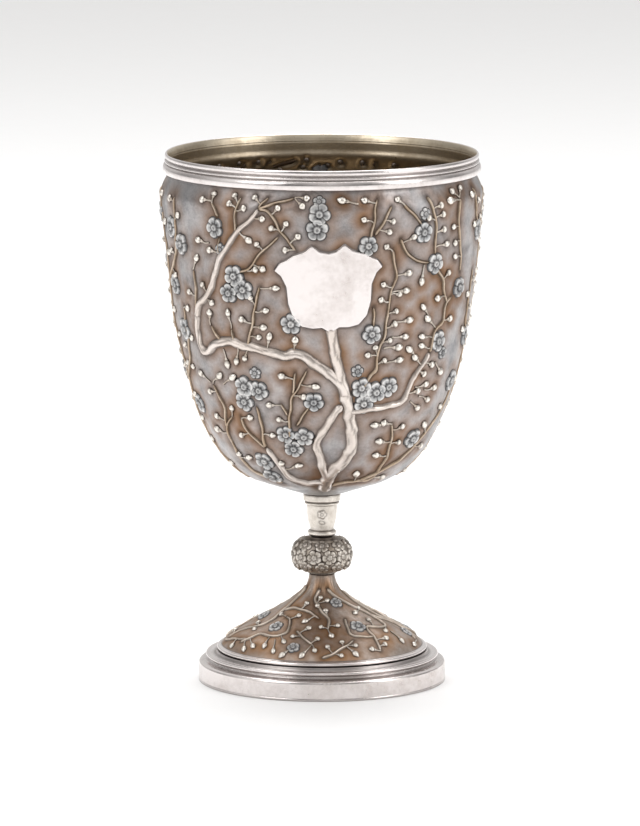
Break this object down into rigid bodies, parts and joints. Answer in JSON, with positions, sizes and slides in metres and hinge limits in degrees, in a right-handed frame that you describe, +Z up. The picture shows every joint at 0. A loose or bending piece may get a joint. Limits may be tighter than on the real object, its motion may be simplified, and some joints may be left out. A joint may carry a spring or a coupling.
{
  "type": "silver goblet trophy cup",
  "caption": "Stemmed silver goblet with a deep hollow bowl, a blank shield and a prunus tree in relief, on a knopped stem and a domed, stepped foot.",
  "frame": {"origin": "centre of the foot's underside, on the surface that the cup stands on", "axes": "+Z up along the cup's axis; -Y is the front, where the blank shield is; +X is to the right seen from the front"},
  "size_m": [0.1322, 0.1344, 0.22],
  "materials": {
    "chased_silver": "chased silver with a mottled grey and brown patina, bright on its high points",
    "foot_silver": "chased silver with a darker brown patina",
    "polished_silver": "worn polished silver, faintly pink"
  },
  "bodies": {
    "root": {"bowl": "chased_silver", "lip_moulding": "polished_silver", "stem_sleeve": "polished_silver", "knop": "chased_silver", "foot": "foot_silver", "foot_rim": "polished_silver"}
  },
  "joints": []
}
